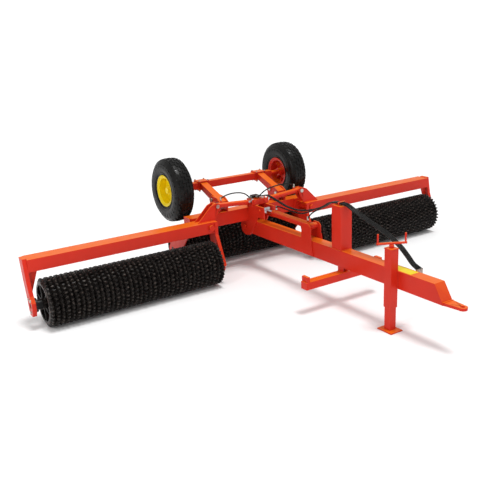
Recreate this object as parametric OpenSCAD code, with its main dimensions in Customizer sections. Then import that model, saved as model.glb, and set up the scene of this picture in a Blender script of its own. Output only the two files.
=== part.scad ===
// Three-gang ring roller, trailed. Millimetres. +Z up, +X the machine's left side, -Y the way it is towed.
// Origin: on the ground, in the machine's middle plane, halfway between the drawbar eye and the tyres' back.
// Places below have Y 0 at the two wing gang axles; placed() moves every part to the origin.

/* [Rings and gangs] */
// outside diameter of a ring
ring_d = 540; // [480:10:600]
// width of one ring along its axle
ring_pitch = 56; // [45:1:70]
// depth of the valley between two ring crests
ring_valley = 24; // [10:1:40]
// thickness of the cast rim under the valleys
rim_wall = 26; // [15:1:40]
// rings on each wing gang
wing_rings = 38; // [20:1:46]
// rings on the centre gang
centre_rings = 32; // [20:1:40]
// gang axle diameter
shaft_d = 60; // [40:1:80]
// how far the centre gang runs behind the wing gangs
gang_offset = 820; // [700:10:1000]

/* [Wings] */
// distance of each wing hinge pin from the middle plane
hinge_x = 775; // [700:5:900]
// height of the hinge pins
hinge_z = 690; // [620:5:760]
// wing beam depth along Y
wing_beam_d = 200; // [120:5:260]
// wing beam height
wing_beam_h = 140; // [100:5:200]
// front face of the wing beams
wing_beam_y = 50; // [0:5:120]
// steel tube wall
tube_wall = 8; // [5:1:12]
// gang end plate thickness
arm_t = 15; // [10:1:25]

/* [Centre frame] */
// centre beam depth along Y
beam_d = 160; // [120:5:220]
// centre beam height
beam_h = 170; // [120:5:240]
// front face of the centre beam
beam_y = 280; // [260:5:360]
// half the length of the centre beam
beam_half = 925; // [850:5:1000]
// gap between the two cheeks that hold the drawbar
cheek_gap = 142; // [122:1:182]
// cheek plate thickness
cheek_t = 20; // [12:1:30]

/* [Transport wheels] */
// tyre outside diameter
tyre_d = 820; // [700:5:1000]
// tyre width
tyre_w = 272; // [200:2:400]
// rim flange diameter
rim_d = 408; // [380:1:480]
// distance of each wheel's middle from the middle plane
wheel_x = 880; // [800:5:1000]
// wheel axle position behind the wing gangs
wheel_y = 815; // [780:5:860]
// wheel axle height with the rings on the ground
wheel_z = 1062; // [1000:2:1150]
// square section of the wheel axle beam
axle_sq = 90; // [70:5:120]

/* [Drawbar] */
// drawbar width
bar_w = 140; // [100:5:180]
// drawbar height
bar_h = 187; // [140:1:240]
// underside of the drawbar above the ground
bar_z = 445; // [400:5:520]
// front end of the drawbar
bar_front = -2850; // [-3200:10:-2400]
// drawbar tilt pin behind the wing gangs
tilt_y = 350; // [300:5:400]
// height of the tilt pin
tilt_z = 520; // [480:5:560]
// mast top height
mast_top = 1125; // [900:5:1300]
// half the width of the wing rest
rest_half = 550; // [500:2:620]

/* [Cylinders and jack] */
// tilt cylinder barrel diameter
tilt_barrel_d = 84; // [60:2:110]
// fold cylinder barrel diameter
fold_barrel_d = 64; // [50:2:90]
// jack outer tube width
jack_sq = 95; // [70:5:120]
// jack distance in front of the wing gangs
jack_y = -2340; // [-2600:10:-2000]
// hydraulic hose diameter
hose_d = 16; // [12:1:20]

/* [Hidden] */
$fn = 72;
ring_r = ring_d / 2;
shaft_r = shaft_d / 2;
fit = 0.06;
gap = 1;
wing_len = wing_rings * ring_pitch;
gang_in = 785;
gang_out = gang_in + wing_len;
wing_beam_z = hinge_z - wing_beam_h / 2;
wing_beam_top = hinge_z + wing_beam_h / 2;
wing_beam_back = wing_beam_y + wing_beam_d;
wing_beam_in = 686;
arm_in_x = 690;
arm_out_x = gang_out + 87;
arm_out_w = 45;
centre_half = centre_rings * ring_pitch / 2;
beam_z = 620;
beam_top = beam_z + beam_h;
beam_back = beam_y + beam_d;
cheek_x = cheek_gap / 2;
axle_half = axle_sq / 2;
bar_half = bar_w / 2;
bar_top = bar_z + bar_h;
cheek_top = 850;
pin_r = 25;
hinge_pin_r = 30;
small_pin_r = 16;
hinge_y0 = wing_beam_back + 8;
rim_r = rim_d / 2;
tyre_r = tyre_d / 2;
hub_r = 95;
stub_r = 32;
wheel_arm_in = 400;
wheel_arm_out = 500;
side_t = 15;
fold_y = 150;
fold_in = [80, 890];
fold_out = [645, 930];
fold_dx = fold_out[0] - fold_in[0];
fold_dz = fold_out[1] - fold_in[1];
fold_len = sqrt(fold_dx * fold_dx + fold_dz * fold_dz);
fold_tilt = atan2(fold_dz, fold_dx);
fold_rod_r = 17;
fold_port = 485;
tilt_port_base = 60;
tilt_port_rod = 690;
fold_barrel_r = fold_barrel_d / 2;
tilt_a = [-930, 775];
tilt_b = [0, 790];
tilt_len = sqrt(pow(tilt_b[0] - tilt_a[0], 2) + pow(tilt_b[1] - tilt_a[1], 2));
tilt_angle = atan2(tilt_b[1] - tilt_a[1], tilt_b[0] - tilt_a[0]);
tilt_rod_r = 25;
tilt_barrel_r = tilt_barrel_d / 2;
hitch_t = 30;
eye_y = -3131;
eye_r = 46;
eye_hole_r = 20.5;
mast_y0 = -1540;
mast_y1 = -1390;
mast_half = 78;
rest_y0 = -1540;
rest_y1 = -1440;
rest_z0 = 290;
rest_z1 = 375;
jack_half = jack_sq / 2;
jack_x = -bar_half - jack_half;
jack_in = 40;
jack_z0 = 250;
jack_z1 = 862;
jack_wall = 6;
screw_r = 14;
crank_angle = -29;
middle_y = (eye_y - eye_r + wheel_y + tyre_r) / 2;
// wing gang outer arm outline and the hollow in its inner face, as Y and Z
outer_outline = [[205, wing_beam_top + 8], [78, wing_beam_top + 8], [35, 530], [-20, 380], [-66, 310],
  [-66, 220], [-40, 158], [45, 158], [72, 210], [92, 330], [146, 510]];
outer_hollow = [[168, 606], [66, 606], [45, 530], [5, 400], [88, 400], [134, 510]];
// wing gang inner arm outline and its front flange, as Y and Z
inner_outline = [[250, wing_beam_z], [46, wing_beam_z], [20, 560], [-110, 235], [-85, 158], [80, 158],
  [128, 235], [235, 560]];
inner_flange = [[50, wing_beam_top], [36, wing_beam_top], [36, 600], [-128, 235], [-114, 235], [50, 596]];
// centre gang end plate outline, as Y and Z
centre_outline = [[beam_y, beam_top], [beam_y, beam_z], [690, 180], [760, 150], [880, 150], [925, 270],
  [850, 400], [600, 590], [beam_back, 700], [beam_back, beam_top]];
// frame upright outline beside each wheel arm, as Y and Z
side_outline = [[beam_y, beam_top], [258, 930], [330, 972], [470, 985], [520, 930], [500, 860], [540, 790],
  [beam_back, beam_top]];
// cheek outline, as Y and Z
cheek_outline = [[-80, cheek_top], [-90, 700], [60, 700], [190, 480], [260, 425], [350, 410], [430, 440],
  [460, 520], [440, beam_z], [beam_y, beam_z], [beam_y, beam_top], [205, cheek_top]];
// wheel arm outline, as Y and Z
wheel_arm_outline = [[275, 930], [300, 850], [400, 858], [480, 905], [wheel_y - axle_half, 1022],
  [wheel_y - axle_half, 1105]];
// hollow inside the wheel arm, as Y and Z
wheel_arm_hollow = [[330, 940], [330, 866], [394, 868], [476, 916], [wheel_y - axle_half - 10, 1029],
  [wheel_y - axle_half - 10, 1094]];
// drawbar outline at its sides, as Y and Z
bar_outline = [[bar_front - 118, bar_z], [bar_front, bar_top], [190, bar_top], [290, 604], [tilt_y, 608],
  [420, 580], [438, tilt_z], [420, 455], [tilt_y, 432], [260, bar_z]];
// hollow inside the drawbar, as Y and Z
bar_hollow = [[bar_front - 76, bar_z + hitch_t + 10], [bar_front + 10, bar_top - tube_wall],
  [170, bar_top - tube_wall], [170, bar_z + tube_wall], [bar_front + 130, bar_z + tube_wall],
  [bar_front + 130, bar_z + hitch_t + 10]];

// hose routes as X, Y and Z: the four starts, then the bundle's middle from the mast on
start_tilt_rod = [[0, -241, 843], [0, -241, 860], [-4, -258, 882], [-10, -340, 894], [-19, -560, 890],
  [-27, -800, 906], [-27, -1000, 984]];
start_fold_r = [[-9, 196, 938], [-9, 176, 938], [-9, 100, 958], [-9, -60, 992], [-9, -260, 960],
  [-9, -480, 922], [-9, -740, 926], [-9, -980, 985]];
start_fold_l = [[9, 196, 938], [9, 176, 938], [9, 100, 958], [9, -60, 992], [9, -260, 960],
  [9, -480, 922], [9, -740, 926], [9, -980, 985]];
start_tilt_base = [[0, -871, 833], [0, -871, 850], [12, -890, 892], [24, -950, 944], [27, -1060, 1000]];
run_front = [[0, -1180, 1060], [0, -1300, 1124], [0, -1465, 1144], [6, -1560, 1134], [36, -1700, 1060],
  [60, -1850, 998], [80, -2050, 926], [90, -2230, 836], [98, -2340, 750], [101, -2420, 680]];
jumper_run = [[47, 240, 925], [64, 240, 925], [88, 238, 937], [110, 234, 956], [140, 226, 978],
  [180, 214, 1000], [230, 200, 1018], [290, 184, 1032], [350, 170, 1040], [410, 159, 1042],
  [465, 152, 1038], [510, 150, 1028],
  [545, 150, 1014], [560, 150, 996], [560, 150, 977]];
hose_spread = [-27, -9, 9, 27];
coupler_x = [86, 108, 130, 152];
coupler_y = -2490;
coupler_z = 532;
coupler_top = 596;
coupler_r = 10.5;
block_y = 200;
block_half = 47;
collar = 4;

// One hose from its start over the mast and down the drawbar's far side to its coupler.
function hose_route(i, start) = concat(start,
  [for (p = run_front) [p[0] + hose_spread[i], p[1], p[2]]],
  [[coupler_x[i], coupler_y + 14, 640], [coupler_x[i], coupler_y, 612],
    [coupler_x[i], coupler_y, coupler_top]]);

function unit(v) = v / norm(v);

function tangent(p, k) = unit(p[min(k + 1, len(p) - 1)] - p[max(k - 1, 0)]);

module hose(route, across) {
  sides = 8;
  last = len(route) - 1;
  rings = [for (k = [0 : last])
    let (t = tangent(route, k), u = unit(cross(t, across)), v = cross(t, u))
      for (j = [0 : sides - 1])
        route[k] + hose_d / 2 * (cos(j * 360 / sides) * u + sin(j * 360 / sides) * v)];
  walls = [for (k = [0 : last - 1]) for (j = [0 : sides - 1])
    [(k + 1) * sides + j, (k + 1) * sides + (j + 1) % sides, k * sides + (j + 1) % sides, k * sides + j]];
  first_cap = [for (j = [0 : sides - 1]) j];
  last_cap = [for (j = [sides - 1 : -1 : 0]) last * sides + j];
  polyhedron(points = rings, faces = concat(walls, [first_cap], [last_cap]), convexity = 10);
}

module placed() {
  translate([0, -middle_y, 0])
    children();
}

module box(a, b) {
  translate(a)
    cube([b[0] - a[0], b[1] - a[1], b[2] - a[2]]);
}

module bar_x(x0, x1, y, z, r) {
  translate([x0, y, z])
    rotate([0, 90, 0])
      cylinder(h = x1 - x0, r = r);
}

module bar_y(y0, y1, x, z, r) {
  translate([x, y1, z])
    rotate([90, 0, 0])
      cylinder(h = y1 - y0, r = r);
}

module plate_x(x0, t, outline) {
  translate([x0, 0, 0])
    rotate([90, 0, 90])
      linear_extrude(t)
        polygon(outline);
}

module plate_y(y0, t, outline) {
  translate([0, y0 + t, 0])
    rotate([90, 0, 0])
      linear_extrude(t)
        polygon(outline);
}

module tube_x(x0, x1, y0, y1, z0, z1, wall) {
  difference() {
    box([x0, y0, z0], [x1, y1, z1]);
    box([x0 - gap, y0 + wall, z0 + wall], [x1 + gap, y1 - wall, z1 - wall]);
  }
}

module both() {
  children();
  mirror([1, 0, 0])
    children();
}

module side(s) {
  if (s > 0)
    children();
  else
    mirror([1, 0, 0])
      children();
}

// Rings clamped side by side: rim with a crest for each ring, spoked webs at the ends and in the middle.
module ring_stack(x0, count) {
  valley_r = ring_r - ring_valley;
  bore_r = valley_r - rim_wall;
  crest = [[0.02, valley_r], [0.34, ring_r], [0.66, ring_r], [0.98, valley_r]];
  crests = [for (i = [0 : count - 1]) for (p = crest) [p[1], (i + p[0]) * ring_pitch]];
  hub = 62;
  web = 30;
  length = count * ring_pitch;
  translate([x0, 0, 0])
    rotate([0, 90, 0])
      difference() {
        union() {
          rotate_extrude()
            polygon(concat([[bore_r, 0.02 * ring_pitch]], crests, [[bore_r, (count - 0.02) * ring_pitch]]));
          for (z = [0.02 * ring_pitch, length / 2 - web / 2, (count - 0.02) * ring_pitch - web])
            translate([0, 0, z])
              cylinder(h = web, r = bore_r + rim_wall / 2);
          for (z = [0.02 * ring_pitch, (count - 0.02) * ring_pitch - 2 * web])
            translate([0, 0, z])
              cylinder(h = 2 * web, r = hub);
        }
        translate([0, 0, -gap])
          cylinder(h = length + 2 * gap, r = shaft_r);
        for (a = [0 : 60 : 300])
          rotate([0, 0, a])
            translate([(hub + bore_r) / 2 + 6, 0, -gap])
              cylinder(h = length + 2 * gap, r = (bore_r - hub) / 2 - 16);
      }
}

module gang_shaft(x0, x1) {
  bar_x(x0, x1, 0, ring_r, shaft_r);
}

module bearing(x0, x1) {
  difference() {
    union() {
      bar_x(x0, x0 + 22, 0, ring_r, 78);
      bar_x(x0, x1, 0, ring_r, 56);
    }
    bar_x(x0 - gap, x1 + gap, 0, ring_r, shaft_r + fit);
  }
}

module wing_beam(s) {
  color([0.80, 0.13, 0.06])
    side(s)
      difference() {
        union() {
          tube_x(wing_beam_in, arm_out_x, wing_beam_y, wing_beam_back, wing_beam_z, wing_beam_top, tube_wall);
          box([arm_out_x - tube_wall, wing_beam_y, wing_beam_z], [arm_out_x, wing_beam_back, wing_beam_top]);
          bar_y(wing_beam_y, wing_beam_back, hinge_x, hinge_z, hinge_pin_r + 16);
        }
        bar_y(wing_beam_y - gap, wing_beam_back + gap, hinge_x, hinge_z, hinge_pin_r + fit);
      }
}

module outer_arm(s) {
  gusset = [[arm_out_x - 100, wing_beam_z], [arm_out_x, wing_beam_z], [arm_out_x, 335]];
  color([0.80, 0.13, 0.06])
    side(s) {
      difference() {
        plate_x(arm_out_x, arm_out_w, outer_outline);
        plate_x(arm_out_x - gap, arm_out_w - arm_t + gap, outer_hollow);
        bar_x(arm_out_x - gap, arm_out_x + arm_out_w + gap, 0, ring_r, shaft_r + 4);
      }
      plate_y(88, 12, gusset);
    }
}

module inner_arm(s) {
  color([0.80, 0.13, 0.06])
    side(s)
      difference() {
        union() {
          plate_x(arm_in_x, arm_t, inner_outline);
          plate_x(wing_beam_in, 44, inner_flange);
        }
        bar_x(arm_in_x - gap, arm_in_x + arm_t + gap, 0, ring_r, shaft_r + 4);
      }
}

module wing_bearings(s) {
  color([0.05, 0.05, 0.05])
    side(s) {
      bearing(arm_in_x + arm_t, gang_in - 6);
      translate([2 * arm_out_x, 0, 0])
        mirror([1, 0, 0])
          bearing(arm_out_x, 2 * arm_out_x - gang_out - 6);
    }
}

module wing_shaft(s) {
  color([0.08, 0.08, 0.08])
    side(s)
      gang_shaft(arm_in_x + 4, arm_out_x + arm_out_w - 6);
}

module wing_rings_part(s) {
  color([0.05, 0.05, 0.06])
    side(s)
      translate([0, 0, ring_r])
        ring_stack(gang_in, wing_rings);
}

module fold_lug(s) {
  outline = [[wing_beam_in + 2, wing_beam_top], [hinge_x + 150, wing_beam_top],
    [fold_out[0] + 90, fold_out[1] + 14], [fold_out[0] + 30, fold_out[1] + 38],
    [fold_out[0] - 20, fold_out[1] + 36], [fold_out[0] - 40, fold_out[1]],
    [fold_out[0] - 30, fold_out[1] - 36]];
  color([0.80, 0.13, 0.06])
    side(s)
      for (y = [fold_y - 52, fold_y + 36])
        difference() {
          plate_y(y, 16, outline);
          bar_y(y - gap, y + 16 + gap, fold_out[0], fold_out[1], small_pin_r);
        }
}

module fold_pins(s) {
  color([0.75, 0.75, 0.72])
    side(s) {
      bar_y(fold_y - 66, fold_y - 36, fold_out[0], fold_out[1], small_pin_r);
      bar_y(fold_y - 72, fold_y - 66, fold_out[0], fold_out[1], small_pin_r + 8);
      bar_y(fold_y + 36, fold_y + 66, fold_out[0], fold_out[1], small_pin_r);
    }
}

module fold_frame(s) {
  side(s)
    translate([fold_in[0], fold_y, fold_in[1]])
      rotate([0, -fold_tilt, 0])
        children();
}

module fold_rod(s) {
  color([0.75, 0.75, 0.77])
    fold_frame(s)
      difference() {
        union() {
          bar_y(-24, 24, 0, 0, 34);
          bar_x(26, fold_len - 76, 0, 0, fold_rod_r);
        }
        bar_y(-24 - gap, 24 + gap, 0, 0, small_pin_r + fit);
      }
}

module fold_barrel(s) {
  color([0.82, 0.16, 0.07])
    fold_frame(s)
      difference() {
        union() {
          bar_x(100, fold_len - 34, 0, 0, fold_barrel_r);
          bar_x(88, 100, 0, 0, fold_barrel_r - 4);
          bar_x(fold_len - 36, fold_len - 6, 0, 0, 24);
          bar_y(-34, 34, fold_len, 0, 32);
          bar_x(112, 132, 0, 0, fold_barrel_r + 3);
          translate([fold_port, 0, fold_barrel_r - 4])
            cylinder(h = 24, r = 12);
        }
        bar_x(88 - gap, fold_len - 46, 0, 0, fold_rod_r + fit);
        bar_y(-34 - gap, 34 + gap, fold_len, 0, small_pin_r);
      }
}

module fold_bracket() {
  reach = fold_in[0] + 42;
  color([0.84, 0.17, 0.07])
    difference() {
      union() {
        for (y = [fold_y - 40, fold_y + 26])
          box([-reach, y, cheek_top], [reach, y + 14, fold_in[1] + 32]);
        box([-22, fold_y - 26, cheek_top], [22, fold_y + 26, fold_in[1] + 20]);
        box([-60, fold_y + 40, cheek_top], [60, beam_y + 60, fold_in[1] + 10]);
        box([-60, beam_y + 40, beam_top], [60, beam_y + 60, cheek_top]);
      }
      for (x = [-fold_in[0], fold_in[0]])
        bar_y(fold_y - 60, fold_y + 60, x, fold_in[1], small_pin_r);
    }
}

module centre_beam() {
  color([0.80, 0.13, 0.06])
    tube_x(-beam_half, beam_half, beam_y, beam_back, beam_z, beam_top, tube_wall);
}

module cheeks() {
  color([0.78, 0.11, 0.06])
    for (x = [-cheek_x - cheek_t, cheek_x])
      difference() {
        plate_x(x, cheek_t, cheek_outline);
        bar_x(x - gap, x + cheek_t + gap, tilt_y, tilt_z, pin_r);
        bar_x(x - gap, x + cheek_t + gap, tilt_b[0], tilt_b[1], pin_r - 3);
      }
}

// Wing hinge pins, drawbar pin, tilt cylinder pins and the fold cylinders' inner pins.
module frame_pins() {
  end = cheek_x + cheek_t + 12;
  color([0.76, 0.14, 0.07]) {
    both() {
      bar_y(wing_beam_y - 8, beam_y, hinge_x, hinge_z, hinge_pin_r);
      bar_y(wing_beam_y - 30, wing_beam_y - 8, hinge_x, hinge_z, hinge_pin_r + 7);
    }
    bar_x(-end, end, tilt_y, tilt_z, pin_r);
    bar_x(-end - 8, -end, tilt_y, tilt_z, pin_r + 9);
    bar_x(end, end + 8, tilt_y, tilt_z, pin_r + 9);
    for (x = [-end, cheek_x])
      bar_x(x, x + cheek_t + 12, tilt_b[0], tilt_b[1], pin_r - 3);
    for (x = [-fold_in[0], fold_in[0]]) {
      bar_y(fold_y - 44, fold_y + 44, x, fold_in[1], small_pin_r);
      bar_y(fold_y - 52, fold_y - 44, x, fold_in[1], small_pin_r + 8);
    }
  }
}

module side_plates() {
  color([0.80, 0.13, 0.06])
    both() {
      plate_x(wheel_arm_out, side_t, side_outline);
      plate_x(wheel_arm_in - side_t, side_t, side_outline);
    }
}

module wheel_arms() {
  color([0.85, 0.18, 0.07])
    both()
      difference() {
        plate_x(wheel_arm_in, wheel_arm_out - wheel_arm_in, wheel_arm_outline);
        plate_x(wheel_arm_in + tube_wall, wheel_arm_out - wheel_arm_in - 2 * tube_wall, wheel_arm_hollow);
      }
}

module axle_beam() {
  color([0.80, 0.13, 0.06])
    box([-640, wheel_y - axle_half, wheel_z - axle_half], [640, wheel_y + axle_half, wheel_z + axle_half]);
}

module axle_clamps() {
  top = wheel_z + axle_half;
  low = wheel_z - axle_half;
  front = wheel_y - axle_half - 24;
  back = wheel_y + axle_half + 24;
  color([0.84, 0.17, 0.07])
    both()
      difference() {
        union() {
          box([370, front, top], [530, back, top + 16]);
          box([370, front, low - 16], [530, back, low]);
          box([370, wheel_y + axle_half, low], [530, back, top]);
        }
        box([wheel_arm_in - 3, front - gap, low - 17], [wheel_arm_out + 3, wheel_y - axle_half, low]);
      }
}

module frame_bolts() {
  color([0.78, 0.78, 0.74])
    both() {
      for (p = [[300, 905], [440, 935]]) {
        bar_x(wheel_arm_out + side_t, wheel_arm_out + side_t + 18, p[0], p[1], 20);
        bar_x(wheel_arm_in - side_t - 18, wheel_arm_in - side_t, p[0], p[1], 20);
      }
      for (x = [385, 515])
        for (y = [wheel_y - axle_half - 12, wheel_y + axle_half + 12]) {
          translate([x, y, wheel_z + axle_half + 16])
            cylinder(h = 12, r = 11);
          translate([x, y, wheel_z - axle_half - 28])
            cylinder(h = 12, r = 11);
        }
    }
}

module stub_axles() {
  color([0.25, 0.25, 0.25])
    both() {
      bar_x(640, wheel_x + 44, wheel_y, wheel_z, stub_r);
      bar_x(640, 652, wheel_y, wheel_z, 44);
    }
}

module centre_arms() {
  color([0.74, 0.16, 0.06])
    both()
      difference() {
        plate_x(beam_half, arm_t, centre_outline);
        bar_x(beam_half - gap, beam_half + arm_t + gap, gang_offset, ring_r, shaft_r + 4);
      }
}

module centre_bearings() {
  color([0.05, 0.05, 0.05])
    both()
      translate([beam_half, gang_offset, 0])
        mirror([1, 0, 0])
          bearing(0, beam_half - centre_half - 6);
}

module centre_shaft() {
  color([0.08, 0.08, 0.08])
    translate([0, gang_offset, 0])
      gang_shaft(-beam_half - arm_t + 2, beam_half + arm_t - 2);
}

module centre_rings_part() {
  color([0.05, 0.05, 0.06])
    translate([0, gang_offset, ring_r])
      ring_stack(-centre_half, centre_rings);
}

module hinge_plates() {
  color([0.84, 0.17, 0.07])
    both()
      difference() {
        box([hinge_x - 125, hinge_y0, beam_z], [hinge_x + 145, beam_y, beam_top]);
        bar_y(hinge_y0 - gap, beam_y + gap, hinge_x, hinge_z, hinge_pin_r);
      }
}

module tyre(s) {
  bead_r = rim_r - 18;
  profile = [[bead_r, -98], [rim_r + 6, -112], [rim_r + 70, -tyre_w / 2 + 4], [tyre_r - 90, -tyre_w / 2],
    [tyre_r - 32, -tyre_w / 2 + 12], [tyre_r - 6, -tyre_w / 2 + 34], [tyre_r, -60], [tyre_r, 60],
    [tyre_r - 6, tyre_w / 2 - 34], [tyre_r - 32, tyre_w / 2 - 12], [tyre_r - 90, tyre_w / 2],
    [rim_r + 70, tyre_w / 2 - 4], [rim_r + 6, 112], [bead_r, 98], [bead_r + 24, 84], [rim_r + 80, 118],
    [tyre_r - 60, 112], [tyre_r - 34, 70], [tyre_r - 34, -70], [tyre_r - 60, -112], [rim_r + 80, -118],
    [bead_r + 24, -84]];
  color([0.06, 0.06, 0.06])
    side(s)
      translate([wheel_x, wheel_y, wheel_z])
        rotate([0, 90, 0])
          rotate_extrude()
            polygon(profile);
}

module rim(s) {
  lip = 120;
  inner = [[rim_r - 32, -lip + 21], [rim_r - 18.5, -lip + 20], [rim_r - 2, -lip + 6], [rim_r - 2, -lip],
    [rim_r - 12, -lip], [rim_r - 28, -lip + 13], [rim_r - 40, -lip + 16], [rim_r - 40, 4], [hub_r - 30, 4],
    [hub_r - 30, 16], [rim_r - 40, 16]];
  outer = [[rim_r - 40, lip - 16], [rim_r - 28, lip - 13], [rim_r - 12, lip], [rim_r - 2, lip],
    [rim_r - 2, lip - 6], [rim_r - 18.5, lip - 20], [rim_r - 32, lip - 21]];
  color([0.90, 0.62, 0.04])
    side(s)
      translate([wheel_x, wheel_y, wheel_z])
        rotate([0, 90, 0])
          difference() {
            rotate_extrude()
              polygon(concat(inner, outer));
            for (a = [0 : 60 : 300])
              rotate([0, 0, a])
                translate([hub_r - 12, 0, 0])
                  cylinder(h = 20, r = 9);
          }
}

module hub(s) {
  color([0.84, 0.17, 0.07])
    side(s)
      translate([wheel_x, wheel_y, wheel_z])
        rotate([0, 90, 0])
          difference() {
            union() {
              translate([0, 0, -10])
                cylinder(h = 14, r = hub_r + 4);
              translate([0, 0, -100])
                cylinder(h = 160, r = 52);
              translate([0, 0, 60])
                cylinder(h = 22, r = 40);
              for (a = [0 : 60 : 300])
                rotate([0, 0, a])
                  translate([hub_r - 12, 0, -10])
                    cylinder(h = 42, r = 9);
            }
            translate([0, 0, -100 - gap])
              cylinder(h = 146 + gap, r = stub_r + fit);
          }
}

module drawbar() {
  color([0.80, 0.12, 0.06])
    difference() {
      plate_x(-bar_half, bar_w, bar_outline);
      plate_x(-bar_half + tube_wall, bar_w - 2 * tube_wall, bar_hollow);
      bar_x(-bar_half - gap, bar_half + gap, tilt_y, tilt_z, pin_r + fit);
      box([-62, bar_front - 200, bar_z - gap], [62, bar_front + 110, bar_z + hitch_t]);
    }
}

module hitch_plate() {
  color([0.80, 0.12, 0.06])
    difference() {
      translate([0, 0, bar_z])
        union() {
          linear_extrude(hitch_t)
            polygon([[-62, bar_front + 110], [62, bar_front + 110], [62, bar_front - 130], [43, eye_y],
              [-43, eye_y], [-62, bar_front - 130]]);
          translate([0, eye_y, 0])
            cylinder(h = hitch_t, r = eye_r);
        }
      translate([0, eye_y, bar_z - gap])
        cylinder(h = hitch_t + 2 * gap, r = eye_hole_r);
    }
}

module mast() {
  color([0.80, 0.12, 0.06])
    difference() {
      box([-mast_half, mast_y0, bar_top], [mast_half, mast_y1, mast_top]);
      box([-mast_half + tube_wall, mast_y0 + tube_wall, bar_top - gap],
        [mast_half - tube_wall, mast_y1 - tube_wall, mast_top - tube_wall]);
    }
}

module wing_rest() {
  wall = 6;
  color([0.80, 0.13, 0.06]) {
    tube_x(-rest_half + wall, rest_half - wall, rest_y0, rest_y1, rest_z0, rest_z1, wall);
    both() {
      box([rest_half - wall, rest_y0, rest_z0], [rest_half, rest_y1, rest_z1]);
      box([rest_half - 46, rest_y0, rest_z1], [rest_half - 12, rest_y1, rest_z1 + 58]);
      box([24, rest_y0 + 16, rest_z1], [36, rest_y1, bar_z]);
    }
  }
}

module tilt_bracket() {
  plate = 10;
  outline = [[-1055, bar_z + 5], [-1012, 700], [-1010, 790], [-975, 822], [-888, 822], [-848, 785],
    [-836, bar_top], [-812, bar_z + 5]];
  color([0.80, 0.13, 0.06]) {
    for (x = [-bar_half - plate, bar_half])
      plate_x(x, plate, outline);
    bar_x(-bar_half - plate, bar_half + plate, tilt_a[0], tilt_a[1], pin_r - 3);
    for (x = [-bar_half, 42])
      bar_x(x, x + bar_half - 42, tilt_a[0], tilt_a[1], 34);
  }
}

module tilt_frame() {
  translate([0, tilt_a[0], tilt_a[1]])
    rotate([tilt_angle, 0, 0])
      children();
}

module tilt_barrel() {
  color([0.82, 0.15, 0.07])
    tilt_frame()
      difference() {
        union() {
          bar_x(-40, 40, 0, 0, 40);
          bar_y(30, tilt_len - 200, 0, 0, tilt_barrel_r);
          bar_y(tilt_len - 200, tilt_len - 170, 0, 0, tilt_barrel_r - 6);
          for (y = [tilt_port_base, tilt_port_rod])
            translate([0, y, tilt_barrel_r - 4])
              cylinder(h = 18, r = 13);
        }
        bar_x(-41, 41, 0, 0, pin_r - 3 + fit);
        bar_y(95, tilt_len - 170 + gap, 0, 0, tilt_rod_r + fit);
      }
}

module tilt_rod() {
  color([0.75, 0.75, 0.77])
    tilt_frame()
      difference() {
        union() {
          bar_y(140, tilt_len - 30, 0, 0, tilt_rod_r);
          bar_x(-60, 60, tilt_len, 0, 38);
        }
        bar_x(-61, 61, tilt_len, 0, pin_r - 3);
      }
}

module jack_sleeve() {
  x0 = jack_x - jack_half;
  x1 = jack_x + jack_half;
  y0 = jack_y - jack_half;
  y1 = jack_y + jack_half;
  color([0.80, 0.13, 0.06])
    difference() {
      union() {
        box([x0, y0, jack_z0], [x1, y1, jack_z1]);
        box([x0 - 6, y0 - 6, jack_z1], [x1, y1 + 6, jack_z1 + 10]);
      }
      box([x0 + jack_wall, y0 + jack_wall, jack_z0 - gap], [x1 - jack_wall, y1 - jack_wall, jack_z1 - 4]);
      translate([jack_x, jack_y, jack_z1 - 10])
        cylinder(h = 40, r = screw_r + fit);
    }
}

module jack_leg() {
  color([0.80, 0.13, 0.06])
    difference() {
      union() {
        box([jack_x - jack_in, jack_y - jack_in, 12], [jack_x + jack_in, jack_y + jack_in, 600]);
        box([jack_x - 80, jack_y - 100, 0], [jack_x + 80, jack_y + 100, 12]);
      }
      box([jack_x - jack_in + jack_wall, jack_y - jack_in + jack_wall, 20],
        [jack_x + jack_in - jack_wall, jack_y + jack_in - jack_wall, 570]);
      translate([jack_x, jack_y, 560])
        cylinder(h = 60, r = screw_r + fit);
    }
}

module jack_crank() {
  top = jack_z1 + 10;
  bar_up = top + 46;
  screw_low = 330;
  color([0.80, 0.13, 0.06])
    translate([jack_x, jack_y, 0]) {
      translate([0, 0, screw_low])
        cylinder(h = bar_up + 5 - screw_low, r = screw_r);
      translate([0, 0, top])
        cylinder(h = 30, r = 24);
      rotate([0, 0, crank_angle]) {
        bar_x(-150, 150, 0, bar_up, 12);
        for (x = [-138, 138])
          translate([x, 0, bar_up])
            cylinder(h = 100, r = 9);
      }
    }
}

module hose_block() {
  color([0.25, 0.25, 0.27]) {
    box([-block_half, block_y, fold_in[1] + 10], [block_half, block_y + 80, fold_in[1] + 60]);
    for (x = [hose_spread[1], hose_spread[2]])
      bar_y(block_y - collar, block_y, x, start_fold_r[0][2], hose_d / 2 + 0.5);
  }
}

module main_hose(i, start) {
  color([0.03, 0.03, 0.03])
    hose(hose_route(i, start), [1, 0, 0]);
}

module hose_jumper(s) {
  color([0.03, 0.03, 0.03])
    side(s)
      hose(jumper_run, [0, 1, 0]);
}

module hose_holders() {
  wide = hose_spread[3] + hose_d / 2 + 14;
  shelf = [coupler_y - 26, coupler_y + 26];
  color([0.80, 0.12, 0.06]) {
    for (x = [-wide, wide - 10])
      box([x, -1475, mast_top], [x + 10, -1455, mast_top + 30]);
    box([-wide, -1475, mast_top + 30], [wide, -1455, mast_top + 36]);
    box([bar_half, shelf[0], coupler_z - 10], [coupler_x[3] + 16, shelf[1], coupler_z]);
    box([bar_half, shelf[0], coupler_z - 60], [bar_half + 8, shelf[1], coupler_z - 10]);
  }
}

module couplers() {
  color([0.72, 0.60, 0.30])
    for (x = coupler_x)
      translate([x, coupler_y, coupler_z])
        cylinder(h = coupler_top - coupler_z, r = coupler_r);
}

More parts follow.
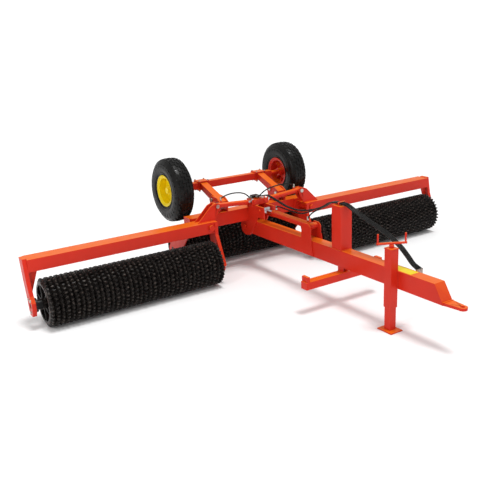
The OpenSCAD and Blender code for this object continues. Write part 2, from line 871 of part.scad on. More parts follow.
placed() centre_beam();
placed() cheeks();
placed() side_plates();
placed() wheel_arms();
placed() frame_bolts();
placed() axle_beam();
placed() axle_clamps();
placed() stub_axles();
placed() centre_arms();
placed() centre_bearings();
placed() hinge_plates();
placed() fold_bracket();
placed() frame_pins();
placed() hose_block();
placed() centre_shaft();
placed() centre_rings_part();  // centre_rings
placed() wing_beam(-1);  // wing_beam_r
placed() outer_arm(-1);  // outer_arm_r
placed() inner_arm(-1);  // inner_arm_r
placed() wing_bearings(-1);  // bearings_r
placed() fold_lug(-1);  // fold_lug_r
placed() fold_pins(-1);  // fold_pins_r
placed() wing_shaft(-1);  // shaft_r
placed() wing_rings_part(-1);  // rings_r
placed() wing_beam(1);  // wing_beam_l
placed() outer_arm(1);  // outer_arm_l
placed() inner_arm(1);  // inner_arm_l
placed() wing_bearings(1);  // bearings_l
placed() fold_lug(1);  // fold_lug_l
placed() fold_pins(1);  // fold_pins_l
placed() wing_shaft(1);  // shaft_l
placed() wing_rings_part(1);  // rings_l
placed() fold_rod(-1);  // fold_rod_r
placed() fold_barrel(-1);  // fold_barrel_r
placed() fold_rod(1);  // fold_rod_l
placed() fold_barrel(1);  // fold_barrel_l
placed() tyre(-1);  // tyre_r
placed() rim(-1);  // rim_r
placed() hub(-1);  // hub_r
placed() tyre(1);  // tyre_l
placed() rim(1);  // rim_l
placed() hub(1);  // hub_l
placed() drawbar();
placed() hitch_plate();
placed() mast();
placed() wing_rest();
placed() tilt_bracket();
placed() tilt_barrel();
placed() tilt_rod();
placed() jack_sleeve();
placed() jack_leg();
placed() jack_crank();
placed() main_hose(0, start_tilt_rod);  // hose_tilt_rod
placed() main_hose(1, start_fold_r);  // hose_fold_r
placed() main_hose(2, start_fold_l);  // hose_fold_l
placed() main_hose(3, start_tilt_base);  // hose_tilt_base
placed() hose_jumper(-1);  // hose_jumper_r
placed() hose_jumper(1);  // hose_jumper_l
placed() hose_holders();
placed() couplers();
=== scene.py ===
"""Trailed three-gang ring roller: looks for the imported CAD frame. Metres, +Z up, towed towards -Y."""

import math

import bmesh
import bpy
from mathutils import Matrix, Vector


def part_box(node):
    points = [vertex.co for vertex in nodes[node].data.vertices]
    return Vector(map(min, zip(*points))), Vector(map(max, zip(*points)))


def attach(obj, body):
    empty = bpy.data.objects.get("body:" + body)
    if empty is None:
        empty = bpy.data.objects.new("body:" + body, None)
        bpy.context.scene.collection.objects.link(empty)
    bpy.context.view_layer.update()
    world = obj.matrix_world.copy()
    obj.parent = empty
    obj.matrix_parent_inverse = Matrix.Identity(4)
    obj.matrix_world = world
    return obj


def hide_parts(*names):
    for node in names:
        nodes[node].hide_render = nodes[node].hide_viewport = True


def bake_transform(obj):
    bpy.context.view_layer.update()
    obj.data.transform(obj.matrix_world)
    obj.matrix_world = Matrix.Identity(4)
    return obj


RIGHT, LEFT = -1, 1
SIDE_NAME = {RIGHT: "right", LEFT: "left"}
SIDE_LETTER = {RIGHT: "r", LEFT: "l"}

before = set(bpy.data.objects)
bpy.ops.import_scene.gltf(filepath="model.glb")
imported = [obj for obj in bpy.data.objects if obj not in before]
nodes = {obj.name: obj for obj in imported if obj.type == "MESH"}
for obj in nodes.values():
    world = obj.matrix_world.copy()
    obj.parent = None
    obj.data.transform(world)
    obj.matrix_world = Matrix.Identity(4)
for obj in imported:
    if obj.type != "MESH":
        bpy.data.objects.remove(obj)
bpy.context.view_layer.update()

# The places below have Y 0 at the wing gangs' axles, as in the CAD source.
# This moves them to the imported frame.
SHIFT = Vector((0, 0.976, 0))


def at(x, y, z):
    return Vector((x, y, z)) + SHIFT


def aim_camera():
    """Puts the camera where the photo was taken from."""
    azimuth, elevation, roll = math.radians(-32.585), math.radians(17.491), math.radians(2.5)
    back = Vector((math.sin(azimuth) * math.cos(elevation), -math.cos(azimuth) * math.cos(elevation),
                   math.sin(elevation)))
    level = Vector((math.cos(azimuth), math.sin(azimuth), 0))
    upright = back.cross(level)
    right = math.cos(roll) * level - math.sin(roll) * upright
    up = math.sin(roll) * level + math.cos(roll) * upright
    camera = bpy.data.objects.new("camera", bpy.data.cameras.new("camera"))
    camera.data.lens = 48.33
    camera.data.sensor_width = 36
    turn = Matrix((right, up, back)).transposed().to_4x4()
    camera.matrix_world = Matrix.Translation(at(-4.635, -6.845, 2.875)) @ turn
    bpy.context.scene.collection.objects.link(camera)
    bpy.context.scene.camera = camera


def area_light(name, place, target, size, power):
    data = bpy.data.lights.new(name, "AREA")
    data.shape = "DISK"
    data.size = size
    data.energy = power
    light = bpy.data.objects.new(name, data)
    light.location = place
    light.rotation_euler = (Vector(target) - Vector(place)).to_track_quat("-Z", "Y").to_euler()
    bpy.context.scene.collection.objects.link(light)


def shader(name, colour, roughness, metallic=0.0, coat=0.0):
    material = bpy.data.materials.new(name)
    material.use_nodes = True
    bsdf = material.node_tree.nodes["Principled BSDF"]
    bsdf.inputs["Base Color"].default_value = (*colour, 1)
    bsdf.inputs["Roughness"].default_value = roughness
    bsdf.inputs["Metallic"].default_value = metallic
    bsdf.inputs["Coat Weight"].default_value = coat
    return material, bsdf


def noise(tree, scale, detail=4, roughness=0.55):
    node = tree.nodes.new("ShaderNodeTexNoise")
    node.inputs["Scale"].default_value = scale
    node.inputs["Detail"].default_value = detail
    node.inputs["Roughness"].default_value = roughness
    tree.links.new(tree.nodes.new("ShaderNodeTexCoord").outputs["Object"], node.inputs["Vector"])
    return node.outputs["Fac"]


def ramp(tree, source, stops):
    node = tree.nodes.new("ShaderNodeValToRGB")
    elements = node.color_ramp.elements
    while len(elements) < len(stops):
        elements.new(0.5)
    for element, (place, colour) in zip(elements, stops):
        element.position = place
        element.color = (*colour, 1)
    tree.links.new(source, node.inputs["Fac"])
    return node.outputs["Color"]


def grey(v):
    return (v, v, v)


# The Mix node repeats the names A, B and Result for each data type. These are its colour sockets.
MIX_A, MIX_B, MIX_RESULT = 6, 7, 2


def blend_colour(tree, factor, a, b):
    node = tree.nodes.new("ShaderNodeMix")
    node.data_type = "RGBA"
    tree.links.new(factor, node.inputs["Factor"])
    for socket, value in ((MIX_A, a), (MIX_B, b)):
        if isinstance(value, tuple):
            node.inputs[socket].default_value = (*value, 1)
        else:
            tree.links.new(value, node.inputs[socket])
    return node.outputs[MIX_RESULT]


def bump(tree, bsdf, height, strength, distance):
    node = tree.nodes.new("ShaderNodeBump")
    node.inputs["Strength"].default_value = strength
    node.inputs["Distance"].default_value = distance
    tree.links.new(height, node.inputs["Height"])
    tree.links.new(node.outputs["Normal"], bsdf.inputs["Normal"])


def paint(name, base, top=None, worn=(0.30, 0.06, 0.03), roughness=0.34, chips=True):
    """Sprayed gloss paint: slight colour drift, painted top light on upward faces, orange-peel bump, small
    dark scuffs.
    """
    material, bsdf = shader(name, base, roughness, coat=0.04)
    bsdf.inputs["Specular IOR Level"].default_value = 0.18
    bsdf.inputs["Coat Roughness"].default_value = 0.2
    tree = material.node_tree
    drift = ramp(tree, noise(tree, 2.2, 3), [(0.30, tuple(c * 0.88 for c in base)), (0.70, base)])
    if top is not None:
        # Painted top light: faces that point up are blended towards the lighter, more orange top colour.
        part = tree.nodes.new("ShaderNodeSeparateXYZ")
        tree.links.new(tree.nodes.new("ShaderNodeTexCoord").outputs["Normal"], part.inputs[0])
        painted_top_light = ramp(tree, part.outputs["Z"], [(0.35, grey(0)), (0.95, grey(1))])
        drift = blend_colour(tree, painted_top_light, drift, top)
    if chips:
        scuff = ramp(tree, noise(tree, 38, 8, 0.7), [(0.70, grey(0)), (0.76, grey(1))])
        drift = blend_colour(tree, scuff, drift, worn)
    tree.links.new(drift, bsdf.inputs["Base Color"])
    rough = ramp(tree, noise(tree, 9, 5), [(0.3, grey(roughness - 0.06)), (0.75, grey(roughness + 0.16))])
    tree.links.new(rough, bsdf.inputs["Roughness"])
    bump(tree, bsdf, noise(tree, 260, 2), 0.10, 0.0012)
    return material


def cast_iron():
    """Black bitumen-dipped castings, rubbed brown-grey where the wear attribute is high."""
    material, bsdf = shader("cast_iron_black", grey(0.006), 0.36)
    bsdf.inputs["Specular IOR Level"].default_value = 0.16
    tree = material.node_tree
    wear = tree.nodes.new("ShaderNodeAttribute")
    wear.attribute_name = "wear"
    patch = ramp(tree, noise(tree, 34, 6, 0.65), [(0.48, grey(0)), (0.70, grey(1))])
    product = tree.nodes.new("ShaderNodeMath")
    product.operation = "MULTIPLY"
    tree.links.new(wear.outputs["Fac"], product.inputs[0])
    tree.links.new(patch, product.inputs[1])
    base = ramp(tree, noise(tree, 15, 5), [(0.3, (0.004, 0.003, 0.003)), (0.7, (0.013, 0.011, 0.010))])
    rubbed = blend_colour(tree, product.outputs[0], base, (0.105, 0.085, 0.072))
    tree.links.new(rubbed, bsdf.inputs["Base Color"])
    rough = ramp(tree, noise(tree, 60, 4), [(0.3, grey(0.16)), (0.7, grey(0.42))])
    tree.links.new(rough, bsdf.inputs["Roughness"])
    bump(tree, bsdf, noise(tree, 120, 6, 0.6), 0.35, 0.003)
    return material


def rubber():
    material, bsdf = shader("tyre_black", grey(0.008), 0.42)
    bsdf.inputs["Specular IOR Level"].default_value = 0.18
    tree = material.node_tree
    tone = ramp(tree, noise(tree, 11, 6), [(0.3, grey(0.004)), (0.75, (0.013, 0.012, 0.011))])
    tree.links.new(tone, bsdf.inputs["Base Color"])
    rough = ramp(tree, noise(tree, 24, 4), [(0.3, grey(0.18)), (0.7, grey(0.40))])
    tree.links.new(rough, bsdf.inputs["Roughness"])
    bump(tree, bsdf, noise(tree, 300, 3), 0.2, 0.001)
    return material


def metal(name, colour, roughness, scratch=90):
    material, bsdf = shader(name, colour, roughness, metallic=1.0)
    tree = material.node_tree
    tone = ramp(tree, noise(tree, 30, 5), [(0.3, tuple(c * 0.72 for c in colour)), (0.7, colour)])
    tree.links.new(tone, bsdf.inputs["Base Color"])
    rough = ramp(tree, noise(tree, scratch, 5), [(0.3, grey(roughness * 0.7)), (0.7, grey(roughness * 1.4))])
    tree.links.new(rough, bsdf.inputs["Roughness"])
    bump(tree, bsdf, noise(tree, scratch * 2, 3), 0.12, 0.0006)
    return material


# The top colour is painted light: the frame's upper faces are coloured lighter and more orange.
RED = paint("frame_red", (0.66, 0.026, 0.010), top=(0.80, 0.135, 0.008))
YELLOW = paint("rim_yellow", (0.92, 0.70, 0.004), worn=(0.60, 0.32, 0.02), chips=False)
IRON = cast_iron()
RUBBER = rubber()
CHROME = metal("chrome", (0.78, 0.78, 0.80), 0.12)
ZINC = metal("zinc", (0.62, 0.60, 0.54), 0.32)
BRASS = metal("brass", (0.70, 0.48, 0.20), 0.30)
BLACK = paint("bearing_black", (0.010, 0.009, 0.009), chips=False)
HOSE = rubber()
HOSE.name = "hose_black"
LABEL = paint("label_yellow", (0.90, 0.72, 0.02), chips=False)


def link(name, mesh, material, smooth=None):
    piece = bpy.data.objects.new(name, mesh)
    bpy.context.scene.collection.objects.link(piece)
    mesh.materials.append(material)
    if smooth is not None:
        mesh.shade_smooth()
        mesh.set_sharp_from_angle(angle=math.radians(smooth))
    return piece


def mesh_from(name, points, faces):
    mesh = bpy.data.meshes.new(name)
    mesh.from_pydata(points, [], faces)
    mesh.validate()
    return mesh


class Shell:
    """Points and faces gathered for one mesh, made of several closed bits."""

    def __init__(self):
        self.points, self.faces = [], []

    def add(self, points, faces):
        offset = len(self.points)
        self.points += [tuple(p) for p in points]
        self.faces += [tuple(offset + i for i in face) for face in faces]

    def turned(self, profile, segments, centre=(0, 0, 0), direction=(1, 0, 0)):
        """A closed profile of (distance along the direction, radius), turned round it through centre."""
        turn = Vector((0, 0, 1)).rotation_difference(Vector(direction))
        points = []
        for i in range(segments):
            angle = 2 * math.pi * i / segments
            for along, radius in profile:
                spot = Vector((radius * math.cos(angle), radius * math.sin(angle), along))
                points.append(Vector(centre) + turn @ spot)
        self.add(points, ring_grid(segments, len(profile)))

    def block(self, corners):
        """Eight corners: the lower four in order, then the upper four."""
        self.add(corners, [(3, 2, 1, 0), (4, 5, 6, 7), (0, 1, 5, 4),
                           (1, 2, 6, 5), (2, 3, 7, 6), (3, 0, 4, 7)])

    def tube(self, line, radii, sides):
        """A closed tube along a line of points, with one radius for each."""
        points = []
        side = None
        for k, spot in enumerate(line):
            along = (line[min(k + 1, len(line) - 1)] - line[max(k - 1, 0)]).normalized()
            if side is None:
                side = along.orthogonal().normalized()
            side = (side - side.dot(along) * along).normalized()
            other = along.cross(side)
            for j in range(sides):
                angle = 2 * math.pi * j / sides
                points.append(spot + radii[k] * (math.cos(angle) * side + math.sin(angle) * other))
        last = (len(line) - 1) * sides
        caps = [tuple(range(sides - 1, -1, -1)), tuple(range(last, last + sides))]
        self.add(points, ring_grid(len(line), sides, closed_rows=False) + caps)

    def piece(self, name, material, smooth=None, slot=None):
        mesh = mesh_from(name, self.points, self.faces)
        shell = bmesh.new()
        shell.from_mesh(mesh)
        bmesh.ops.recalc_face_normals(shell, faces=shell.faces)
        shell.to_mesh(mesh)
        shell.free()
        made = link(name, mesh, material, smooth)
        return made


def ring_grid(rows, columns, closed_rows=True):
    """Quads of a grid whose columns wrap round, and whose rows wrap too if closed."""
    faces = []
    for i in range(rows if closed_rows else rows - 1):
        for j in range(columns):
            a, b = i, (i + 1) % rows
            c, d = j, (j + 1) % columns
            faces.append((a * columns + c, a * columns + d, b * columns + d, b * columns + c))
    return faces


def curve_through(points, steps):
    """A smooth line through the points."""
    line = []
    ends = [2 * points[0] - points[1]] + points + [2 * points[-1] - points[-2]]
    for k in range(1, len(ends) - 2):
        a, b, c, d = ends[k - 1:k + 3]
        for step in range(steps):
            t = step / steps
            line.append(0.5 * (2 * b + (c - a) * t + (2 * a - 5 * b + 4 * c - d) * t * t
                               + (3 * b - a - 3 * c + d) * t ** 3))
    return line + [points[-1]]


HOSE_DIAMETER = 0.016
START_TILT_ROD = [(0, -0.241, 0.843), (0, -0.241, 0.860), (-0.004, -0.258, 0.882), (-0.010, -0.340, 0.894),
                  (-0.019, -0.560, 0.890), (-0.027, -0.800, 0.906), (-0.027, -1.000, 0.984)]
START_FOLD = [(0.196, 0.938), (0.176, 0.938), (0.100, 0.958), (-0.060, 0.992), (-0.260, 0.960),
              (-0.480, 0.922), (-0.740, 0.926), (-0.980, 0.985)]
START_TILT_BASE = [(0, -0.871, 0.833), (0, -0.871, 0.850), (0.012, -0.890, 0.892), (0.024, -0.950, 0.944),
                   (0.027, -1.060, 1.000)]
RUN_FRONT = [(0, -1.180, 1.060), (0, -1.300, 1.124), (0, -1.465, 1.144), (0.006, -1.560, 1.134),
             (0.036, -1.700, 1.060), (0.060, -1.850, 0.998), (0.080, -2.050, 0.926), (0.090, -2.230, 0.836),
             (0.098, -2.340, 0.750), (0.101, -2.420, 0.680)]
JUMPER_RUN = [(0.047, 0.240, 0.925), (0.064, 0.240, 0.925), (0.088, 0.238, 0.937), (0.110, 0.234, 0.956),
              (0.140, 0.226, 0.978), (0.180, 0.214, 1.000), (0.230, 0.200, 1.018), (0.290, 0.184, 1.032),
              (0.350, 0.170, 1.040), (0.410, 0.159, 1.042), (0.465, 0.152, 1.038), (0.510, 0.150, 1.028),
              (0.545, 0.150, 1.014), (0.560, 0.150, 0.996), (0.560, 0.150, 0.977)]
COUPLER_Y = -2.490
MAIN_HOSES = {
    "tilt_rod": (START_TILT_ROD, -0.027, 0.086, "tilt_cylinder"),
    "fold_r": ([(-0.009, y, z) for y, z in START_FOLD], -0.009, 0.108, "frame"),
    "fold_l": ([(0.009, y, z) for y, z in START_FOLD], 0.009, 0.130, "frame"),
    "tilt_base": (START_TILT_BASE, 0.027, 0.152, "tilt_cylinder"),
}


def ferrule(name, end, inward):
    """Crimped sleeve and hexagon nut on a hose's end."""
    inward = inward.normalized()
    shell = Shell()
    bore = HOSE_DIAMETER / 2
    sleeve = [(0.014, bore), (0.014, 0.0100), (0.019, 0.0108), (0.024, 0.0098), (0.029, 0.0108),
              (0.034, 0.0098), (0.039, 0.0108), (0.046, 0.0095), (0.046, bore)]
    shell.turned(sleeve, 16, end, inward)
    shell.turned([(0.0005, bore), (0.0005, 0.0115), (0.014, 0.0115), (0.014, bore)], 6, end, inward)
    return shell.piece(name, ZINC, 35, "zinc_steel")


def hose(name, node, points):
    """A hydraulic hose along its route, with a fitting at each end."""
    line = curve_through(points, 5)
    shell = Shell()
    shell.tube(line, [HOSE_DIAMETER / 2] * len(line), 12)
    tube = shell.piece(name, HOSE, 50, "hose_rubber")
    fittings = [ferrule(name + "_fitting_a", line[0], line[1] - line[0]),
                ferrule(name + "_fitting_b", line[-1], line[-2] - line[-1])]
    for piece in [tube] + fittings:
        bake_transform(piece)
    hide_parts(node)


def make_hoses():
    for name, (start, spread, coupler_x, body) in MAIN_HOSES.items():
        points = [at(*p) for p in start] + [at(x + spread, y, z) for x, y, z in RUN_FRONT]
        points += [at(coupler_x, COUPLER_Y + 0.014, 0.640), at(coupler_x, COUPLER_Y, 0.612),
                   at(coupler_x, COUPLER_Y, 0.596)]
        hose("hose_" + name + "_line", "hose_" + name, points)
    for s in (RIGHT, LEFT):
        points = [at(s * x, y, z) for x, y, z in JUMPER_RUN]
        hose("hose_jumper_" + SIDE_NAME[s], "hose_jumper_" + SIDE_LETTER[s], points)


RING_RADIUS = 0.270
PITCH = 0.056
TEETH = 34
TOOTH_PLACES = (0.0, 0.16, 0.46, 0.62)
WING_RINGS = 38
CENTRE_RINGS = 32
CENTRE_HALF = CENTRE_RINGS * PITCH / 2
CENTRE_AXLE_Y = 0.82
WING_INNER_END = 0.785
END_RING_INSET = 0.012


def ring_section(kind, tooth_phase):
    """Outline of one ring at one place round it: (distance along the axle, radius, wear)."""
    raised = tooth_phase in (1, 2)
    half_top = {0: 0.0045, 1: 0.0060}[kind] if not raised else {0: 0.0065, 1: 0.0130}[kind]
    top = RING_RADIUS if raised else RING_RADIUS - {0: 0.020, 1: 0.030}[kind]
    valley = RING_RADIUS - 0.046
    flank = 0.5 * (valley + top)
    middle = PITCH / 2
    wear = 1.0 if raised else 0.35
    return [(0.001, 0.206, 0.1), (0.001, valley - 0.004, 0.1), (0.006, valley, 0.0),
            (middle - half_top - 0.009, flank, 0.2), (middle - half_top, top, wear),
            (middle + half_top, top, wear), (middle + half_top + 0.009, flank, 0.2),
            (PITCH - 0.006, valley, 0.0), (PITCH - 0.001, valley - 0.004, 0.1), (PITCH - 0.001, 0.206, 0.1)]


def gang(name, start, count, centre_y, body):
    """The toothed rings of one gang in one mesh, narrow and wide by turns."""
    points, wears, faces = [], [], []
    grid = ring_grid(TEETH * len(TOOTH_PLACES), len(ring_section(0, 0)))
    for k in range(count):
        kind = k % 2
        offset = len(points)
        turn = 0.5 * kind + 0.17 * (k // 2)
        for tooth in range(TEETH):
            for phase, place in enumerate(TOOTH_PLACES):
                angle = 2 * math.pi * (tooth + place + turn) / TEETH
                for along, radius, wear in ring_section(kind, phase):
                    points.append((start + k * PITCH + along, radius * math.cos(angle),
                                   radius * math.sin(angle)))
                    wears.append(wear)
        faces += [tuple(offset + corner for corner in face) for face in grid]
    mesh = mesh_from(name, points, faces)
    attribute = mesh.attributes.new("wear", "FLOAT", "POINT")
    attribute.data.foreach_set("value", wears)
    piece = link(name, mesh, IRON)
    piece.location = (0, centre_y, RING_RADIUS)
    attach(piece, body)
    return piece


def spoked_end(name, x, centre_y, body):
    """End ring of a gang: rim band, hub and six ribbed spokes, with rubbed edges."""
    shell = Shell()
    centre = at(x, centre_y, RING_RADIUS)
    band = [(-0.011, 0.200), (-0.011, 0.228), (-0.006, 0.238), (0.006, 0.238), (0.011, 0.228), (0.011, 0.200)]
    hub = [(-0.024, 0.031), (-0.024, 0.056), (-0.018, 0.064), (0.018, 0.064), (0.024, 0.056), (0.024, 0.031)]
    shell.turned(band, 72, centre)
    shell.turned(hub, 36, centre)
    for k in range(6):
        angle = math.radians(60 * k + 18)
        out = Vector((0, math.cos(angle), math.sin(angle)))
        side = Vector((0, -math.sin(angle), math.cos(angle)))
        for half, depth in ((0.016, 0.005), (0.005, 0.011)):
            corners = []
            for x_side in (-depth, depth):
                for radius, width in ((0.058, half), (0.206, half * 0.66)):
                    row = [centre + Vector((x_side, 0, 0)) + out * radius + side * w for w in (-width, width)]
                    corners += row if radius < 0.1 else row[::-1]
            shell.block(corners)
    made = shell.piece(name, IRON, 35, "cast_rings")
    attribute = made.data.attributes.new("wear", "FLOAT", "POINT")
    distance = [math.hypot(p[1] - centre.y, p[2] - centre.z) for p in shell.points]
    attribute.data.foreach_set("value", [1.0 if d > 0.22 else 0.3 for d in distance])
    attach(made, body)


TREAD = [(0.000, 0.4000), (0.060, 0.3970), (0.088, 0.3900), (0.108, 0.3760), (0.122, 0.3540), (0.131, 0.3200),
         (0.1345, 0.2900), (0.132, 0.2550), (0.124, 0.2280), (0.112, 0.2100), (0.099, 0.1900)]


def wheel_centre(s):
    return at(s * 0.88, 0.815, 1.062)


def tread_radius(x):
    """The tyre's radius at a distance from its middle."""
    x = abs(x)
    for (x0, r0), (x1, r1) in zip(TREAD, TREAD[1:]):
        if x <= x1:
            return r0 + (r1 - r0) * (x - x0) / (x1 - x0)
    return TREAD[-1][1]


def tyre(s):
    """Implement tyre: smooth sidewalls with two moulded rings, and six rows of staggered tread blocks."""
    name = "tyre_" + SIDE_NAME[s]
    centre = wheel_centre(s)
    outside = [(-x, r) for x, r in TREAD[::-1]] + TREAD[1:]
    inside = [(0.084, 0.212), (0.116, 0.260), (0.112, 0.350), (0.060, 0.376), (-0.060, 0.376),
              (-0.112, 0.350), (-0.116, 0.260), (-0.084, 0.212)]
    shell = Shell()
    shell.turned(outside + inside, 96, centre)
    for side in (-1, 1):
        for radius in (0.236, 0.330):
            x = side * (0.1285 if radius < 0.3 else 0.1305)
            band = [(x - 0.004, radius - 0.004), (x - 0.004, radius + 0.004), (x + 0.004, radius + 0.002),
                    (x + 0.004, radius - 0.002)]
            shell.turned(band, 96, centre)
    count = 30
    rows = [(-0.112, 0.021, 0.42), (-0.066, 0.019, 0.36), (-0.022, 0.017, 0.34), (0.022, 0.017, 0.34),
            (0.066, 0.019, 0.36), (0.112, 0.021, 0.42)]
    for row, (middle, half_width, half_length) in enumerate(rows):
        for k in range(count):
            mid_angle = 2 * math.pi * (k + 0.5 * (row % 2)) / count
            half_angle = half_length * 2 * math.pi / count
            corners = []
            for lift, keep in ((-0.006, 1.0), (0.0095, 0.80)):
                for u, v in ((-1, -1), (1, -1), (1, 1), (-1, 1)):
                    x = middle + u * half_width * keep
                    angle = mid_angle + v * half_angle * keep + 0.10 * u * half_angle * (1 if row < 3 else -1)
                    lean = 0.004 * lift / 0.0095 if abs(middle) > 0.1 and u * middle > 0 else 0
                    radius = tread_radius(x) + lift
                    corners.append(centre + Vector((x + math.copysign(lean, middle), radius * math.cos(angle),
                                                    radius * math.sin(angle))))
            shell.block(corners)
    made = shell.piece(name + "_tread", RUBBER, 30, "tyre_rubber")
    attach(made, "wheel_" + SIDE_NAME[s])
    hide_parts("tyre_" + SIDE_LETTER[s])


def rim_ribs(s):
    """Pressed ribs of a wheel dish."""
    centre = wheel_centre(s)
    shell = Shell()
    for k in range(8):
        angle = math.radians(45 * k)
        out = Vector((0, math.cos(angle), math.sin(angle)))
        side = Vector((0, -math.sin(angle), math.cos(angle)))
        corners = []
        for x, inner, outer in ((0.006, 0.088, 0.166), (-0.050, 0.100, 0.166)):
            for radius, w in ((inner, -0.005), (outer, -0.005), (outer, 0.005), (inner, 0.005)):
                corners.append(centre + Vector((s * x, 0, 0)) + out * radius + side * w)
        shell.block(corners)
    made = shell.piece("rim_ribs_" + SIDE_NAME[s], RED if s == LEFT else YELLOW, 35, "rim_paint")
    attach(made, "wheel_" + SIDE_NAME[s])


def weld(name, start, end, body, radius=0.005):
    """A bead of overlapping weld ripples from start to end."""
    start, end = at(*start), at(*end)
    count = max(6, round((end - start).length / 0.006))
    line = [start.lerp(end, k / count) for k in range(count + 1)]
    radii = [radius * (0.82 + 0.30 * (k % 2) + 0.06 * math.sin(1.7 * k)) for k in range(count + 1)]
    radii[0] = radii[-1] = radius * 0.4
    shell = Shell()
    shell.tube(line, radii, 8)
    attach(shell.piece(name, RED, 60, "frame_paint"), body)


def hex_bolts(name, places, direction, body, radius=0.013, height=0.010):
    """Bolt heads on washers, all in one piece."""
    shell = Shell()
    for place in places:
        head = [(0, 0.001), (0, radius), (height * 0.8, radius), (height, radius * 0.86), (height, 0.001)]
        washer = [(-0.001, 0.001), (-0.001, radius * 1.45), (0.0015, radius * 1.45), (0.0015, 0.001)]
        shell.turned(head, 6, at(*place), direction)
        shell.turned(washer, 20, at(*place), direction)
    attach(shell.piece(name, ZINC, 35, "zinc_steel"), body)


def rounded(obj, width):
    """Softens a CAD node's sharp edges."""
    weld_step = obj.modifiers.new("merge", "WELD")
    weld_step.merge_threshold = 0.00002
    bevel = obj.modifiers.new("edge", "BEVEL")
    bevel.width = width
    bevel.segments = 2
    bevel.limit_method = "ANGLE"
    bevel.angle_limit = math.radians(40)
    bevel.harden_normals = True
    bevel.use_clamp_overlap = True


def cad_material(name):
    if name.startswith(("rings", "centre_rings")):
        return IRON
    if name.startswith("tyre"):
        return RUBBER
    if name == "hub_r" or (name.startswith("rim") and name.endswith("_r")):
        return YELLOW
    if name.startswith(("bearings", "centre_bearings", "shaft", "centre_shaft")) or name == "hose_block":
        return BLACK
    if name.startswith(("fold_rod", "tilt_rod")):
        return CHROME
    if name.startswith("fold_pins") or name == "frame_bolts":
        return ZINC
    if name == "couplers":
        return BRASS
    return RED


BACKDROP_RADIUS = 29
BACKDROP_SIDES = 72


def make_lights():
    """Soft high sun, a wide glint light and an even white world."""
    sun = bpy.data.objects.new("key", bpy.data.lights.new("key", "SUN"))
    sun.data.energy = 1.75
    sun.data.angle = math.radians(16)
    sun.rotation_euler = Vector((-0.10, 0.20, -1.0)).to_track_quat("-Z", "Y").to_euler()
    bpy.context.scene.collection.objects.link(sun)
    area_light("glint", at(-6.5, -3.5, 4.5), at(-0.8, -0.3, 0.3), 1.2, 90)
    world = bpy.data.worlds.new("studio")
    world.use_nodes = True
    world.node_tree.nodes["Background"].inputs["Color"].default_value = (1, 1, 1, 1)
    world.node_tree.nodes["Background"].inputs["Strength"].default_value = 0.62
    bpy.context.scene.world = world
    bpy.context.scene.view_settings.view_transform = "Standard"


def make_stage():
    """Pale floor, and a white wall that only the camera sees."""
    bpy.ops.mesh.primitive_plane_add(size=60, location=(0, 0, -0.002))
    floor = bpy.context.object
    floor.name = "floor"
    floor.data.materials.append(shader("floor_white", grey(0.97), 0.9)[0])
    wall = Shell()
    for k in range(BACKDROP_SIDES):
        angle = 2 * math.pi * k / BACKDROP_SIDES
        for z in (-0.1, 14):
            wall.points.append((BACKDROP_RADIUS * math.cos(angle), BACKDROP_RADIUS * math.sin(angle), z))
        following = (k + 1) % BACKDROP_SIDES
        wall.faces.append((2 * k, 2 * k + 1, 2 * following + 1, 2 * following))
    white, white_bsdf = shader("backdrop_white", grey(1.0), 1.0)
    white_bsdf.inputs["Emission Color"].default_value = (1, 1, 1, 1)
    white_bsdf.inputs["Emission Strength"].default_value = 1.0
    backdrop = wall.piece("backdrop", white)
    backdrop.visible_diffuse = backdrop.visible_glossy = backdrop.visible_shadow = False


aim_camera()
make_hoses()

for name, obj in nodes.items():
    material = cad_material(name)
    obj.data.materials.clear()
    obj.data.materials.append(material)
    if material is RED and not name.startswith("rim"):
        rounded(obj, 0.003)

make_lights()
make_stage()

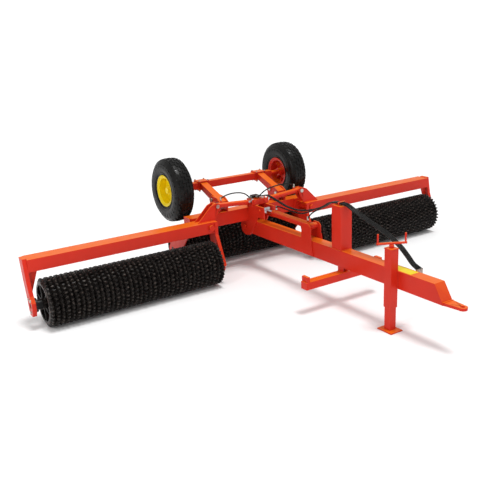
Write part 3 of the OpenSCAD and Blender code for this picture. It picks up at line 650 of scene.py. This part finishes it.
for s in (RIGHT, LEFT):
    letter, side = SIDE_LETTER[s], SIDE_NAME[s]
    lo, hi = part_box("rings_" + letter)
    body = "gang_" + side
    piece = gang("ring_gang_" + side, lo.x, WING_RINGS, at(0, 0, 0).y, body)
    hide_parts("rings_" + letter)
    wing_outer_end = lo.x if s == RIGHT else hi.x
    spoked_end("spokes_" + side + "_outer", wing_outer_end - s * END_RING_INSET, 0, body)
    spoked_end("spokes_" + side + "_inner", s * (WING_INNER_END + END_RING_INSET), 0, body)
    tyre(s)
    rim_ribs(s)
    bolt_places = [(s * 3.045, y, z) for y, z in ((-0.03, 0.335), (0.045, 0.335), (0.0, 0.200))]
    hex_bolts("bearing_bolts_" + side, bolt_places, (s, 0, 0), "wing_" + side)
    weld("weld_arm_" + side, (s * 3.0, 0.075, 0.762), (s * 3.0, 0.200, 0.762), "wing_" + side)
    weld("weld_lug_" + side, (s * 0.70, 0.098, 0.762), (s * 0.90, 0.098, 0.762), "wing_" + side)
    weld("weld_side_" + side, (s * 0.516, 0.285, 0.792), (s * 0.516, 0.435, 0.792), "frame")
    weld("weld_mast_" + side, (s * 0.080, -1.538, 0.634), (s * 0.080, -1.392, 0.634), "drawbar")
    weld("weld_rest_" + side, (s * 0.038, -1.524, 0.377), (s * 0.038, -1.440, 0.377), "drawbar")
    weld("weld_bracket_" + side, (s * 0.081, -1.050, 0.455), (s * 0.081, -1.016, 0.690), "drawbar")
weld("weld_mast_front", (-0.078, -1.542, 0.634), (0.078, -1.542, 0.634), "drawbar")
weld("weld_nose", (-0.066, -2.968, 0.476), (0.066, -2.968, 0.476), "drawbar")
weld("weld_jack_top", (-0.072, -2.388, 0.632), (-0.072, -2.292, 0.632), "drawbar")
weld("weld_jack_front", (-0.072, -2.390, 0.450), (-0.072, -2.390, 0.630), "drawbar")

piece = gang("ring_gang_centre", -CENTRE_HALF, CENTRE_RINGS, at(0, CENTRE_AXLE_Y, 0).y, "gang_centre")
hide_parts("centre_rings")
for s in (RIGHT, LEFT):
    centre_end = s * (CENTRE_HALF - END_RING_INSET)
    spoked_end("spokes_centre_" + SIDE_NAME[s], centre_end, CENTRE_AXLE_Y, "gang_centre")

strip = Shell()
label_corners = ((-0.055, -2.54), (0.055, -2.54), (0.055, -2.22), (-0.055, -2.22))
lower = [at(x, y, 0.6315) for x, y in label_corners]
strip.block(lower + [p + Vector((0, 0, 0.0015)) for p in lower])
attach(strip.piece("plain_label", LABEL, 30, "rim_paint"), "drawbar")
